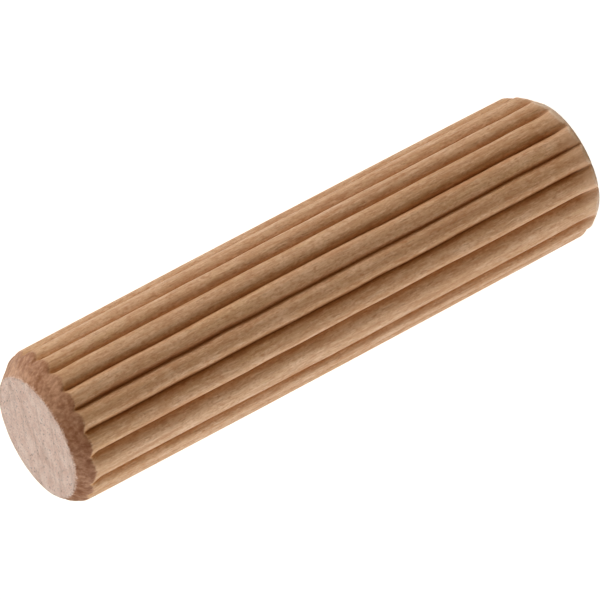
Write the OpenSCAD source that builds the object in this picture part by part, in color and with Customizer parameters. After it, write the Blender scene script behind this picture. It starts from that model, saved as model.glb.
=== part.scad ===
// Reeded wooden dowel pin.
// The pin stands on its bottom end, on the XY plane, with its axis along +Z.
// A reeded bar is cut to length, and each end is chamfered afterwards, so that
// every flute runs out on the chamfer and leaves a plain round end face.

/* [Pin] */
// Length of the pin between its two end faces
pin_length = 40; // [20:1:120]
// Diameter of the pin over the crests of its ridges
pin_d = 10.2; // [6:0.1:16]

/* [Flutes] */
// Number of straight flutes round the shank
flute_count = 19; // [12:1:28]
// Depth of a flute below the crests beside it
flute_depth = 0.4; // [0.1:0.05:0.5]
// How much wider one ridge was left than the others, in degrees round the pin
wide_ridge_extra = 8; // [0:1:12]
// Side of the pin that the wide ridge is on, in degrees from +X
wide_ridge_side = 220; // [0:5:355]

/* [Chamfers] */
// Length of each chamfer along the pin
chamfer_length = 1.2; // [0.5:0.05:2.5]
// How much each chamfer takes off the radius at the end face
chamfer_drop = 0.95; // [0.5:0.05:1.5]
// Radius that breaks the edge between an end face and its chamfer
edge_r = 0.2; // [0.05:0.05:0.3]
// How far the top chamfer was cut off centre
top_runout = 0.2; // [0:0.05:0.7]
// Side that the top chamfer is shifted to, in degrees from +X
top_runout_side = 180; // [0:5:355]
// How far the bottom chamfer was cut off centre
bottom_runout = 0.65; // [0:0.05:0.7]
// Side that the bottom chamfer is shifted to, in degrees from +X
bottom_runout_side = 250; // [0:5:355]

/* [Hidden] */
$fn = 96;

// Room between a cutting form and the stock that it has to clear
cut_clearance = 0.2;

pin_r = pin_d / 2;
valley_r = pin_r - flute_depth;

// Angles that the ridges take up round the pin: one wide ridge, the rest equal
ridge_angle = (360 - wide_ridge_extra) / flute_count;
wide_ridge_angle = ridge_angle + wide_ridge_extra;

// The face of a ridge is an arc that touches the crest circle and ends at the
// bottoms of the flutes on both sides of it. This is how far out its centre is.
function ridge_centre(angle) =
    (pow(pin_r, 2) - pow(valley_r, 2)) / (2 * (pin_r - valley_r * cos(angle / 2)));

// The core closes the middle. It ends half way along the line on which two
// neighbouring ridge circles overlap, so it stays below the flutes.
core_r = ridge_centre(ridge_angle) * cos(ridge_angle / 2);

// The chamfer's lean from the axis, and the tangent length of the edge break
chamfer_angle = atan(chamfer_drop / chamfer_length);
face_r = pin_r - chamfer_drop;
edge_tangent = edge_r / tan((90 + chamfer_angle) / 2);

// Circle whose outer arc is the face of one ridge
module ridge_circle(angle) {
    translate([ridge_centre(angle), 0])
        circle(r = pin_r - ridge_centre(angle));
}

// Cross-section of the reeded bar
module reeded_section() {
    circle(r = core_r);
    rotate(wide_ridge_side)
        ridge_circle(wide_ridge_angle);
    for (i = [1 : flute_count - 1])
        rotate(wide_ridge_side + wide_ridge_extra / 2 + i * ridge_angle)
            ridge_circle(ridge_angle);
}

// Half profile of the space under one chamfer, with the end face at the top.
// It is wide enough to clear the bar on the side away from the run-out.
module chamfer_profile(runout) {
    outer_r = pin_r + runout + cut_clearance;
    shoulder_z = pin_length - chamfer_length * (outer_r - face_r) / chamfer_drop;
    edge_centre = [face_r - edge_tangent, pin_length - edge_r];
    polygon([
        [0, -cut_clearance],
        [outer_r, -cut_clearance],
        [outer_r, shoulder_z],
        edge_centre + edge_r * [cos(chamfer_angle), sin(chamfer_angle)],
        edge_centre + [0, edge_r],
        [0, pin_length]
    ]);
    translate(edge_centre)
        circle(r = edge_r);
}

// Turned form that leaves one chamfered end when the bar is cut with it
module chamfer_form(runout, side) {
    translate([runout * cos(side), runout * sin(side), 0])
        rotate_extrude()
            chamfer_profile(runout);
}

module dowel_pin() {
    color("#b98c66")
        intersection() {
            linear_extrude(height = pin_length)
                reeded_section();
            chamfer_form(top_runout, top_runout_side);
            translate([0, 0, pin_length])
                mirror([0, 0, 1])
                    chamfer_form(bottom_runout, bottom_runout_side);
        }
}

dowel_pin();
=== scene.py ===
import math

import bpy
import numpy as np
from mathutils import Matrix, Vector


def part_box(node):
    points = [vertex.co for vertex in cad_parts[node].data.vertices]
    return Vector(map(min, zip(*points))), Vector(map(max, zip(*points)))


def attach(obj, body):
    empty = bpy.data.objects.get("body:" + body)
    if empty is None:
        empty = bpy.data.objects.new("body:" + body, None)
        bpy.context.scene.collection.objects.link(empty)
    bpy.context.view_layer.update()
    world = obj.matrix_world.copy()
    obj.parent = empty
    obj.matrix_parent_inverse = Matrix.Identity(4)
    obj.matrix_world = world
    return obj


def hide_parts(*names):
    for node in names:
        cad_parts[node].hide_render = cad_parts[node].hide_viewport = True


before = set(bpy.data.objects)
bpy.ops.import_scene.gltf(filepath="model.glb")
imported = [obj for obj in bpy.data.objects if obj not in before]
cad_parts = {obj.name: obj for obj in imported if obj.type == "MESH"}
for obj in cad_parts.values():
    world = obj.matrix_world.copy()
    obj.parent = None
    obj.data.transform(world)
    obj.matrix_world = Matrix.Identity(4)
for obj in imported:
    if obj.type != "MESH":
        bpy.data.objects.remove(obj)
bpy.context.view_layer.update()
MM = 0.001

# ---------------------------------------------------------------- the pin's form, in metres
PIN_LOW, PIN_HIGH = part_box("dowel_pin")
PIN_LENGTH = PIN_HIGH.z - PIN_LOW.z
PIN_R = 5.1 * MM                        # over the crests of the ridges
CREST_ROOM = 0.006 * MM                 # keeps the crests inside the CAD solid's
BARREL = 0.06 * MM                      # how much slimmer the ends are than the middle

FLUTES = 19
FLUTE_DEPTH = 0.46 * MM
FLUTE_BLEND = 0.05                      # share of a ridge's half width that rounds a flute's bottom
RIDGE_FULLNESS = 2.7                    # 2 is a round ridge, more a flatter one with sharper flutes
WIDE_EXTRA = math.radians(8)            # how much wider the wide ridge is than the others
WIDE_SIDE = math.radians(220)
RIDGE_ANGLE = (2 * math.pi - WIDE_EXTRA) / FLUTES
WIDE_ANGLE = RIDGE_ANGLE + WIDE_EXTRA

# Both seeds were searched for, so that the flutes on the photo's side fall and deepen about as there.
SPACING_SPREAD = math.radians(2.5)      # how unevenly the flutes are spaced
SPACING_SEED = 9283
DEPTH_SPREAD = 0.24                     # how unevenly deep they are, as a share of their depth
DEPTH_LENGTH = 14 * MM                  # how far along a flute its depth takes to change
DEPTH_SEED = 741

# Layers of unevenness: how much, cells of it round the pin, length of a cell along it, seed
WANDER = (                              # the flutes' sideways sway
    (math.radians(0.35), FLUTES, 9 * MM, 11),
    (math.radians(0.36), 2 * FLUTES, 2.2 * MM, 12),
)
FIBRE = (                               # raised fibre on the shank
    (0.009 * MM, 90, 9 * MM, 14),
    (0.007 * MM, 190, 3.5 * MM, 15),
)
TORN = (                                # torn fibre on the chamfers, its seeds counted from the end's
    (0.020 * MM, 260, 0.12 * MM, 0),
    (0.025 * MM, 90, 0.4 * MM, 1),
)
BOTTOM_SEED = 31
TOP_SEED = 41

CHAMFER_LENGTH = 1.2 * MM
CHAMFER_DROP = 0.97 * MM                # what a chamfer takes off the radius at the face
EDGE_R = 0.08 * MM                      # radius between a face and its chamfer
TOP_SHOULDER = 0.22 * MM                # how broadly the chamfers' outer edges are rounded over
BOTTOM_SHOULDER = 0.10 * MM
TOP_RUNOUT = (0.2 * MM, math.radians(180))      # how far off centre, and to which side
BOTTOM_RUNOUT = (0.7 * MM, math.radians(248))
TOP_FADE = (0.9 * MM, 0.8 * MM)         # where the flutes start below the top, and how long they deepen
TOP_DEPTH = 0.38                        # share of the flute depth left at the top
BOTTOM_FADE = 1.6 * MM                  # how long the flutes take to deepen from the bottom
BOTTOM_DEPTH = 0.55

# How the end grain and the torn grain end
FACE_SHARE = 0.62                       # share of end grain just past the face
FACE_FADE = 0.28 * MM                   # how far it takes to fall off
CHAMFER_SHARE = 0.65                    # share of torn grain where the chamfer leaves the shank
CHAMFER_FADE = 0.32 * MM                # depth of cut over which it changes
CHAMFER_SPREAD = 0.45                   # how much of it is added on one side of the top
CHAMFER_SPREAD_SIDE = math.radians(325)

RIDGE_POINTS = 21                       # points across a ridge
POINT_GATHER = 0.35                     # how closely they gather at the flutes
SHANK_ROWS = 134                        # rows of points along the shank
FACE_ROWS = 9
EDGE_ROWS = 6
CHAMFER_ROWS = 40

# ---------------------------------------------------------------- the camera
VIEW_AZIMUTH = math.radians(268.5)      # side of the pin that faces the camera, from +X
VIEW_ELEVATION = math.radians(23.45)
VIEW_ROLL = math.radians(-117.88)
VIEW_DISTANCE = 0.5403
LENS = 518.7
AIM = (0.080 * MM, -0.270 * MM)         # the camera's small slide to its right and up

# ---------------------------------------------------------------- the wood
WOOD_PALE = (0.80, 0.520, 0.325, 1)
WOOD_MAIN = (0.655, 0.394, 0.222, 1)
WOOD_DEEP = (0.59, 0.330, 0.165, 1)
WOOD_RED = (0.45, 0.195, 0.080, 1)
# the vessels' dark lines, and also the painted shade at the flutes' bottoms
WOOD_LINE_AND_SHADE = (0.21, 0.058, 0.010, 1)
WOOD_GOLD = (0.68, 0.425, 0.203, 1)
FLUTE_SHADE_TINT = (0.93, 0.70, 0.45, 1)      # painted shade in the flutes, multiplied into the wood's colour
CHAMFER_LIGHT = (0.62, 0.335, 0.185, 1)
CHAMFER_MAIN = (0.385, 0.165, 0.073, 1)
CHAMFER_DARK = (0.165, 0.048, 0.012, 1)
CHAMFER_PAINTED_LIGHT = (0.97, 0.76, 0.55, 1)    # painted light on the bottom chamfer, on the camera's side
END_LIGHT = (0.98, 0.715, 0.54, 1)
END_MAIN = (0.84, 0.545, 0.39, 1)
END_DARK = (0.49, 0.28, 0.175, 1)
END_PORE = (0.16, 0.08, 0.05, 1)
PAINTED_SHADE_SIDE = math.radians(212)          # the side where painted shade darkens the top chamfer most
PAINTED_LIGHT_SIDE = math.radians(268)          # the camera's side, where painted light makes the bottom chamfer pale
RAY_ANGLE = math.radians(45)            # how the end grain's rays lie
BUMP_HEIGHT = 0.03 * MM

# ---------------------------------------------------------------- the light
# Its places, powers and tints, and the floor's and the room's colours, were fitted to the photo.
SIDE_TINT = (0.925, 1.01, 1.12)
BACK_TINT = (0.76, 1.00, 1.30)
TOP_TINT = (1.02, 0.99, 1.00)
LAMPS = (                               # name, azimuth from the camera's side, elevation, power, tint
    ("light_left_back", 130, 12, 1.2, BACK_TINT),
    ("light_left", 75, 12, 2.18, SIDE_TINT),
    ("light_right", -79, 12, 1.68, SIDE_TINT),
    ("light_right_back", -104, 12, 1.52, BACK_TINT),
    ("light_top", 0, 82, 0.82, TOP_TINT),
)
LAMP_SIZE = 0.3
LAMP_DISTANCE = 0.5
ROOM_COLOUR = (1, 0.61, 0.28, 1)
ROOM_STRENGTH = 0.032
FLOOR_SIZE = 4
FLOOR_COLOUR = (0.46, 0.325, 0.165, 1)  # what it throws back at the pin
FLOOR_GLOW = 0.95                       # added for the camera: with the lit colour it passes white, in the shadow too


def smooth(t):
    """Eases 0..1 in and out."""
    t = np.clip(t, 0, 1)
    return t * t * (3 - 2 * t)


def soft_abs(t, blend):
    """The size of t, levelled off over the last blend of the way to 1."""
    size = np.abs(t)
    over = np.clip((size - 1 + blend) / blend, 0, 1)
    return size - 0.5 * blend * over ** 2


def soft_min(a, b, width):
    """The lesser of a and b, with the corner between them rounded over width."""
    h = np.clip(0.5 + 0.5 * (b - a) / width, 0, 1)
    return b * (1 - h) + a * h - width * h * (1 - h)


def field(angle, z, cells, length, seed):
    """Smooth random values from -1 to 1: cells of them round the pin, one each length along it."""
    rows = int(PIN_LENGTH / length) + 3
    values = np.random.default_rng(seed).uniform(-1, 1, (cells, rows))
    u = (angle / (2 * math.pi)) % 1 * cells
    v = z / length + 0.5
    i = u.astype(int) % cells
    j = np.clip(v.astype(int), 0, rows - 2)
    s = smooth(u - np.floor(u))
    t = smooth(v - j)
    i2 = (i + 1) % cells
    low = values[i, j] * (1 - s) + values[i2, j] * s
    high = values[i, j + 1] * (1 - s) + values[i2, j + 1] * s
    return low * (1 - t) + high * t


def unevenness(angle, z, layers, seed=0):
    """The sum of the layers' fields."""
    return sum(size * field(angle, z, cells, length, seed + own) for size, cells, length, own in layers)


def section():
    """Angles round the reeded section, closer together at the flutes, and the depth at each."""
    share = np.linspace(0, 1, RIDGE_POINTS, endpoint=False)
    share = share + POINT_GATHER * np.sin(2 * math.pi * share) / (2 * math.pi)
    depth = FLUTE_DEPTH * soft_abs(2 * share - 1, FLUTE_BLEND) ** RIDGE_FULLNESS
    widths = np.full(FLUTES, RIDGE_ANGLE)
    widths[0] = WIDE_ANGLE
    starts = WIDE_SIDE - WIDE_ANGLE / 2 + np.concatenate([[0], np.cumsum(widths)])
    starts[:-1] += SPACING_SPREAD * np.random.default_rng(SPACING_SEED).uniform(-1, 1, FLUTES)
    starts[-1] = starts[0] + 2 * math.pi
    angles = [a + share * (b - a) for a, b in zip(starts[:-1], starts[1:])]
    return np.concatenate(angles), np.tile(depth, FLUTES)


def shank_radius(angle, depth, z):
    """The reeded wall with the barrel, the uneven flutes and the fibre of real wood."""
    barrel = BARREL * (2 * z / PIN_LENGTH - 1) ** 2
    from_top = smooth((PIN_LENGTH - z - TOP_FADE[0]) / TOP_FADE[1])
    from_bottom = smooth(z / BOTTOM_FADE)
    share = 1 + DEPTH_SPREAD * field(angle, z, FLUTES, DEPTH_LENGTH, DEPTH_SEED)
    share = share * (TOP_DEPTH + (1 - TOP_DEPTH) * from_top)
    share = share * (BOTTOM_DEPTH + (1 - BOTTOM_DEPTH) * from_bottom)
    wall = PIN_R - CREST_ROOM - barrel - depth * share + unevenness(angle, z, FIBRE)
    return np.minimum(PIN_R, wall)


def turned_reach(angle, radius, runout):
    """Distance from the pin's axis, along angle, to a circle whose centre is off by runout."""
    shift, side = runout
    along = shift * np.cos(angle - side)
    across = shift * np.sin(angle - side)
    return along + np.sqrt(radius ** 2 - across ** 2)


def end_profile(runout):
    """(radius, depth below the face) from the face's edge break over the chamfer, outwards."""
    lean = math.atan(CHAMFER_DROP / CHAMFER_LENGTH)
    tangent = EDGE_R / math.tan((math.pi / 2 + lean) / 2)
    face_r = PIN_R - CHAMFER_DROP - tangent
    turns = np.linspace(math.pi / 2, lean, EDGE_ROWS)
    edge = [(face_r + EDGE_R * math.cos(t), EDGE_R - EDGE_R * math.sin(t)) for t in turns]
    last_r, last_depth = edge[-1]
    radii = np.linspace(last_r, PIN_R + runout[0] + TOP_SHOULDER, CHAMFER_ROWS)[1:]
    depths = last_depth + (radii - last_r) * CHAMFER_LENGTH / CHAMFER_DROP
    return edge + list(zip(radii, depths))


def end_rows(base, depth, top):
    """Rows of points from the middle of one end face, over its edge and chamfer, to the shank.
    A row is its angles, reach and heights, and its shares of end grain, chamfer and flute."""
    runout, shoulder, seed = BOTTOM_RUNOUT, BOTTOM_SHOULDER, BOTTOM_SEED
    if top:
        runout, shoulder, seed = TOP_RUNOUT, TOP_SHOULDER, TOP_SEED
    low = smooth(depth / FLUTE_DEPTH)
    profile = end_profile(runout)
    face_r = profile[0][0]
    rows = []
    for share in np.linspace(0.1, 0.94, FACE_ROWS):
        z = np.full_like(base, PIN_LENGTH if top else 0)
        angle = base + unevenness(base, z, WANDER)
        rows.append((angle, share * turned_reach(angle, face_r, runout), z, 1.0, 0.0, 0.0))
    for radius, below in profile:
        z = np.full_like(base, PIN_LENGTH - below if top else below)
        angle = base + unevenness(base, z, WANDER)
        torn = unevenness(angle, z, TORN, seed) * min(1, below / EDGE_R + 0.3)
        cone = turned_reach(angle, radius, runout) + torn
        wall = shank_radius(base, depth, z)
        spread = 0.5 * CHAMFER_SPREAD * (1 + np.cos(angle - CHAMFER_SPREAD_SIDE)) if top else 0
        on_cone = np.clip(CHAMFER_SHARE + (wall - cone) / CHAMFER_FADE + spread, 0, 1)
        on_face = max(0, FACE_SHARE * (1 - math.hypot(radius - face_r, below) / FACE_FADE))
        rows.append((angle, soft_min(cone, wall, shoulder), z, on_face, on_cone, (1 - on_cone) * low))
    return rows


def build_pin():
    """The whole pin as one closed mesh, with its shares of grain as attributes."""
    base, depth = section()
    low = smooth(depth / FLUTE_DEPTH)
    bottom = end_rows(base, depth, False)
    top = end_rows(base, depth, True)[::-1]
    rows = bottom
    for level in np.linspace(bottom[-1][2][0], top[0][2][0], SHANK_ROWS)[1:-1]:
        z = np.full_like(base, level)
        angle = base + unevenness(base, z, WANDER)
        rows.append((angle, shank_radius(base, depth, z), z, 0.0, 0.0, low))
    rows = rows + top

    points = [np.stack([reach * np.cos(a), reach * np.sin(a), z], 1) for a, reach, z, *_ in rows]
    points = np.vstack(points + [[[0, 0, 0], [0, 0, PIN_LENGTH]]])
    n = len(base)
    ring = np.arange(n)
    after = (ring + 1) % n
    faces = []
    for k in range(len(rows) - 1):
        a, b = k * n, (k + 1) * n
        faces += np.stack([a + ring, a + after, b + after, b + ring], 1).tolist()
    first, last = len(rows) * n, (len(rows) - 1) * n
    faces += np.stack([np.full(n, first), after, ring], 1).tolist()
    faces += np.stack([np.full(n, first + 1), last + ring, last + after], 1).tolist()

    mesh = bpy.data.meshes.new("dowel_pin_wood")
    mesh.from_pydata(points.tolist(), [], faces)
    mesh.shade_smooth()
    for name, column, at_centres in (("end_grain", 3, 1.0), ("chamfer", 4, 0.0), ("flute", 5, 0.0)):
        values = np.concatenate([np.full(n, 1.0) * row[column] for row in rows] + [[at_centres] * 2])
        layer = mesh.attributes.new(name, "FLOAT", "POINT")
        layer.data.foreach_set("value", values.astype(np.float32))
    pin = bpy.data.objects.new("dowel_pin_wood", mesh)
    bpy.context.scene.collection.objects.link(pin)
    return pin


class Tree:
    """Short ways to add and join shader nodes."""

    def __init__(self, material):
        material.use_nodes = True
        self.tree = material.node_tree
        self.tree.nodes.clear()

    def node(self, kind, settings=None, **inputs):
        made = self.tree.nodes.new(kind)
        for name, value in (settings or {}).items():
            setattr(made, name, value)
        for name, value in inputs.items():
            self.put(made, name.replace("_", " "), value)
        return made

    def put(self, node, name, value):
        socket = node.inputs[int(name)] if name.isdigit() else node.inputs[name]
        if isinstance(value, bpy.types.NodeSocket):
            self.tree.links.new(value, socket)
        else:
            socket.default_value = value

    def math(self, operation, a, b):
        made = self.node("ShaderNodeMath", {"operation": operation})
        self.put(made, "0", a)
        self.put(made, "1", b)
        return made.outputs[0]

    def add(self, a, b):
        return self.math("ADD", a, b)

    def less(self, a, b):
        return self.math("SUBTRACT", a, b)

    def times(self, a, b):
        return self.math("MULTIPLY", a, b)

    def mix(self, factor, a, b, blend="MIX"):
        made = self.node("ShaderNodeMix", {"data_type": "RGBA", "blend_type": blend, "clamp_factor": True})
        self.put(made, "0", factor)
        self.put(made, "6", a)
        self.put(made, "7", b)
        return made.outputs[2]

    def stain(self, tone, mask, strength, colour):
        """The tone with the colour over it where the mask is, as strong as strength."""
        return self.mix(self.times(mask, strength), tone, colour)

    def ramp(self, value, low, high):
        """0 where value is at low, 1 where it is at high, eased between."""
        made = self.node("ShaderNodeMapRange", {"interpolation_type": "SMOOTHSTEP"})
        self.put(made, "0", value)
        self.put(made, "1", low)
        self.put(made, "2", high)
        return made.outputs[0]

    def noise(self, place, across, along, detail=2.0, rough=0.5, distort=0.0):
        """Noise with so many features a millimetre across the grain and along it."""
        scaled = self.node("ShaderNodeMapping", {"vector_type": "POINT"}, Vector=place)
        scaled.inputs["Scale"].default_value = (across / MM, across / MM, along / MM)
        made = self.node("ShaderNodeTexNoise", None, Vector=scaled.outputs[0], Scale=1.0, Detail=detail)
        made.inputs["Roughness"].default_value = rough
        made.inputs["Distortion"].default_value = distort
        return made.outputs["Fac"]

    def facing(self, place, side, low, high):
        """0 to 1 round the pin towards one side of it, by how far a place lies that way."""
        towards = self.node("ShaderNodeVectorMath", {"operation": "DOT_PRODUCT"})
        self.put(towards, "0", place)
        self.put(towards, "1", (math.cos(side) / PIN_R, math.sin(side) / PIN_R, 0))
        return self.ramp(towards.outputs["Value"], low, high)

    def attribute(self, name):
        return self.node("ShaderNodeAttribute", {"attribute_name": name}).outputs["Fac"]

    def ragged(self, name, noise, reach, soft):
        """The named share with a steeper edge that strays with the noise."""
        stray = self.times(self.less(noise, 0.5), reach)
        return self.ramp(self.add(self.attribute(name), stray), 0.5 - soft, 0.5 + soft)


def long_grain(t, place, height, flute):
    """The shank's colour, relief and roughness: bands, fibres, hairs, vessels, red flecks, and painted shade in the
    flutes.
    """
    bands = t.noise(place, 0.42, 0.02, 3.0, 0.55, 0.4)
    tints = t.noise(place, 0.7, 0.12, 2.0, 0.5, 0.3)
    fibres = t.noise(place, 4.0, 0.55, 3.0, 0.65)
    hairs = t.noise(place, 10.0, 1.5, 2.0, 0.6)
    specks = t.noise(place, 8.0, 4.0, 2.0, 0.6)
    vessels = t.ramp(t.noise(place, 8.0, 1.1, 1.0, 0.4), 0.61, 0.73)
    flecks = t.ramp(t.noise(place, 4.0, 1.6, 2.0, 0.5), 0.56, 0.72)
    streaks = t.ramp(t.noise(place, 2.4, 0.14, 2.0, 0.5, 0.2), 0.54, 0.70)
    blotch = t.noise(place, 1.1, 0.4, 3.0, 0.6)
    tone = t.mix(t.ramp(bands, 0.32, 0.68), WOOD_DEEP, WOOD_MAIN)
    tone = t.stain(tone, t.ramp(tints, 0.55, 0.75), 0.45, WOOD_GOLD)
    tone = t.stain(tone, t.ramp(blotch, 0.48, 0.72), 0.62, WOOD_PALE)
    tone = t.stain(tone, t.ramp(blotch, 0.50, 0.28), 0.72, WOOD_DEEP)
    tone = t.stain(tone, t.ramp(fibres, 0.62, 0.30), 0.47, WOOD_RED)
    tone = t.stain(tone, t.ramp(hairs, 0.46, 0.68), 0.50, WOOD_PALE)
    tone = t.stain(tone, t.ramp(specks, 0.54, 0.30), 0.50, WOOD_RED)
    tone = t.stain(tone, flecks, 0.55, WOOD_RED)
    tone = t.stain(tone, streaks, 0.42, WOOD_RED)
    tone = t.stain(tone, vessels, 0.16, WOOD_LINE_AND_SHADE)

    # painted shade darkens the flutes, most at their bottoms; the last millimetres at the ends are warmer or paler
    painted_flute_shade = t.math("POWER", flute, 3.0)
    tone = t.mix(painted_flute_shade, tone, FLUTE_SHADE_TINT, "MULTIPLY")
    tone = t.stain(tone, t.math("POWER", painted_flute_shade, 2.0), 0.85, WOOD_LINE_AND_SHADE)
    near_top = t.add(height, t.times(blotch, 2.5 * MM))
    near_top = t.ramp(near_top, PIN_LENGTH - 3.2 * MM, PIN_LENGTH - 0.4 * MM)
    tone = t.stain(tone, near_top, 0.10, WOOD_GOLD)
    near_bottom = t.ramp(t.add(height, t.times(blotch, 1.5 * MM)), 2.6 * MM, 0.8 * MM)
    tone = t.stain(tone, near_bottom, 0.45, WOOD_PALE)

    relief = t.add(t.times(fibres, 0.5), t.times(hairs, 0.4))
    relief = t.add(relief, t.times(specks, 0.22))
    relief = t.less(relief, t.times(vessels, 0.5))
    return tone, relief, t.add(0.62, t.times(fibres, 0.2))


def torn_grain(t, place, height):
    """The chamfers' colour: torn, darker and redder, with painted shade on one side and painted light low on the
    camera's side.
    """
    torn = t.noise(place, 3.6, 1.6, 3.0, 0.62)
    patch = t.noise(place, 0.5, 0.5, 2.0, 0.5)
    tone = t.mix(t.ramp(torn, 0.24, 0.76), CHAMFER_DARK, CHAMFER_LIGHT)
    tone = t.mix(0.45, tone, t.mix(t.ramp(patch, 0.35, 0.65), CHAMFER_MAIN, CHAMFER_LIGHT))
    # painted shade: the top chamfer darker on one side, fading out towards the bottom
    chamfer_painted_shade = t.times(t.facing(place, PAINTED_SHADE_SIDE, -0.1, 0.9), t.ramp(height, 0, PIN_LENGTH))
    chamfer_painted_shade = t.times(chamfer_painted_shade, t.add(0.75, t.times(t.ramp(torn, 0.70, 0.35), 0.5)))
    tone = t.stain(tone, chamfer_painted_shade, 0.58, CHAMFER_DARK)
    # painted light: the bottom chamfer paler on the camera's side
    chamfer_painted_light = t.times(t.facing(place, PAINTED_LIGHT_SIDE, -0.35, 0.35), t.ramp(height, 6 * MM, 2 * MM))
    return t.stain(tone, chamfer_painted_light, 0.78, CHAMFER_PAINTED_LIGHT)


def end_grain(t, place, dust, pores):
    """The faces' colour: pale, with faint rays, dust and small pores."""
    cloud = t.noise(place, 1.1, 1.1, 3.0, 0.6)
    turned = t.node("ShaderNodeMapping", {"vector_type": "TEXTURE"}, Vector=place)
    turned.inputs["Rotation"].default_value = (0, 0, RAY_ANGLE)
    turned.inputs["Scale"].default_value = (0.5 * MM, 3 * MM, MM)
    rays = t.node("ShaderNodeTexNoise", None, Vector=turned.outputs[0], Scale=1.0, Detail=2.0).outputs["Fac"]
    tone = t.mix(t.ramp(cloud, 0.3, 0.7), END_MAIN, END_LIGHT)
    tone = t.stain(tone, t.ramp(rays, 0.52, 0.36), 0.28, END_DARK)
    tone = t.stain(tone, t.ramp(dust, 0.52, 0.30), 0.60, END_DARK)
    return t.stain(tone, pores, 0.65, END_PORE)


def wood_material():
    """Bare beech: long grain on the shank, torn fibre on the chamfers, pored end grain."""
    material = bpy.data.materials.new("beech")
    t = Tree(material)
    place = t.node("ShaderNodeTexCoord").outputs["Object"]
    height = t.node("ShaderNodeSeparateXYZ", None, Vector=place).outputs["Z"]
    frayed = t.noise(place, 7.0, 4.0, 3.0, 0.75)
    dust = t.noise(place, 9.0, 9.0, 2.0, 0.7)
    pores = t.ramp(t.noise(place, 6.0, 6.0, 1.0, 0.5), 0.62, 0.72)
    end = t.ragged("end_grain", frayed, 1.5, 0.28)
    cone = t.ragged("chamfer", frayed, 0.9, 0.30)
    flute = t.attribute("flute")

    tone, long_relief, roughness = long_grain(t, place, height, flute)
    tone = t.mix(cone, tone, torn_grain(t, place, height))
    tone = t.mix(end, tone, end_grain(t, place, dust, pores))
    cut_relief = t.less(t.add(frayed, t.times(dust, 0.5)), t.times(pores, end))
    relief = t.mix(t.math("MAXIMUM", cone, end), long_relief, cut_relief)

    bump = t.node("ShaderNodeBump", None, Strength=1.0, Distance=BUMP_HEIGHT, Height=relief)
    shader = t.node("ShaderNodeBsdfPrincipled", None, Normal=bump.outputs[0], Base_Color=tone)
    t.put(shader, "Roughness", roughness)
    t.put(shader, "Specular IOR Level", t.less(0.14, t.times(flute, 0.12)))
    t.put(shader, "Sheen Weight", t.times(t.less(1.0, flute), 0.36))
    t.put(shader, "Sheen Roughness", 0.22)
    t.node("ShaderNodeOutputMaterial", None, Surface=shader.outputs[0])
    return material


def outwards(azimuth, elevation):
    """The direction from the pin towards a side and height, both angles in radians."""
    flat = math.cos(elevation)
    return Vector((flat * math.cos(azimuth), flat * math.sin(azimuth), math.sin(elevation)))


def add_camera():
    data = bpy.data.cameras.new("camera")
    data.lens = LENS
    data.sensor_width = 36
    camera = bpy.data.objects.new("camera", data)
    bpy.context.scene.collection.objects.link(camera)
    view = outwards(VIEW_AZIMUTH, VIEW_ELEVATION)
    turn = view.to_track_quat("Z", "Y").to_matrix() @ Matrix.Rotation(VIEW_ROLL, 3, "Z")
    centre = Vector((0, 0, (PIN_LOW.z + PIN_HIGH.z) / 2))
    place = centre + turn @ Vector((AIM[0], AIM[1], VIEW_DISTANCE))
    camera.matrix_world = Matrix.Translation(place) @ turn.to_4x4()
    bpy.context.scene.camera = camera


def add_lamp(name, azimuth, elevation, power, tint):
    """A square soft light that looks at the pin's middle, azimuth counted from the camera's side."""
    data = bpy.data.lights.new(name, "AREA")
    data.shape = "SQUARE"
    data.size = LAMP_SIZE
    data.energy = power
    data.color = tint
    lamp = bpy.data.objects.new(name, data)
    bpy.context.scene.collection.objects.link(lamp)
    out = outwards(VIEW_AZIMUTH + math.radians(azimuth), math.radians(elevation))
    place = Vector((0, 0, PIN_LENGTH / 2)) + out * LAMP_DISTANCE
    lamp.matrix_world = Matrix.Translation(place) @ out.to_track_quat("Z", "Y").to_matrix().to_4x4()


def add_light():
    """Four soft lamps round the pin and one over it, in a dim warm room."""
    for lamp in LAMPS:
        add_lamp(*lamp)
    world = bpy.data.worlds.new("studio")
    bpy.context.scene.world = world
    world.use_nodes = True
    back = world.node_tree.nodes["Background"]
    back.inputs["Color"].default_value = ROOM_COLOUR
    back.inputs["Strength"].default_value = ROOM_STRENGTH


def add_floor():
    """A plain floor that glows white to the camera, so brightly that the pin's shadow doesn't show.
    Only camera rays see the glow: glossy and transmission rays see the floor's own colour."""
    bpy.ops.mesh.primitive_plane_add(size=FLOOR_SIZE)
    floor = bpy.context.object
    floor.name = "floor"
    material = bpy.data.materials.new("floor")
    t = Tree(material)
    seen = t.node("ShaderNodeLightPath").outputs["Is Camera Ray"]
    glow = t.node("ShaderNodeEmission", None, Strength=t.times(seen, FLOOR_GLOW))
    diffuse = t.node("ShaderNodeBsdfDiffuse", None, Color=FLOOR_COLOUR)
    both = t.node("ShaderNodeAddShader")
    t.put(both, "0", diffuse.outputs[0])
    t.put(both, "1", glow.outputs[0])
    t.node("ShaderNodeOutputMaterial", None, Surface=both.outputs[0])
    floor.data.materials.append(material)


add_camera()
pin = build_pin()
pin.data.materials.append(wood_material())
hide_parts("dowel_pin")
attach(pin, "root")
add_light()
add_floor()
bpy.context.scene.view_settings.view_transform = "Standard"
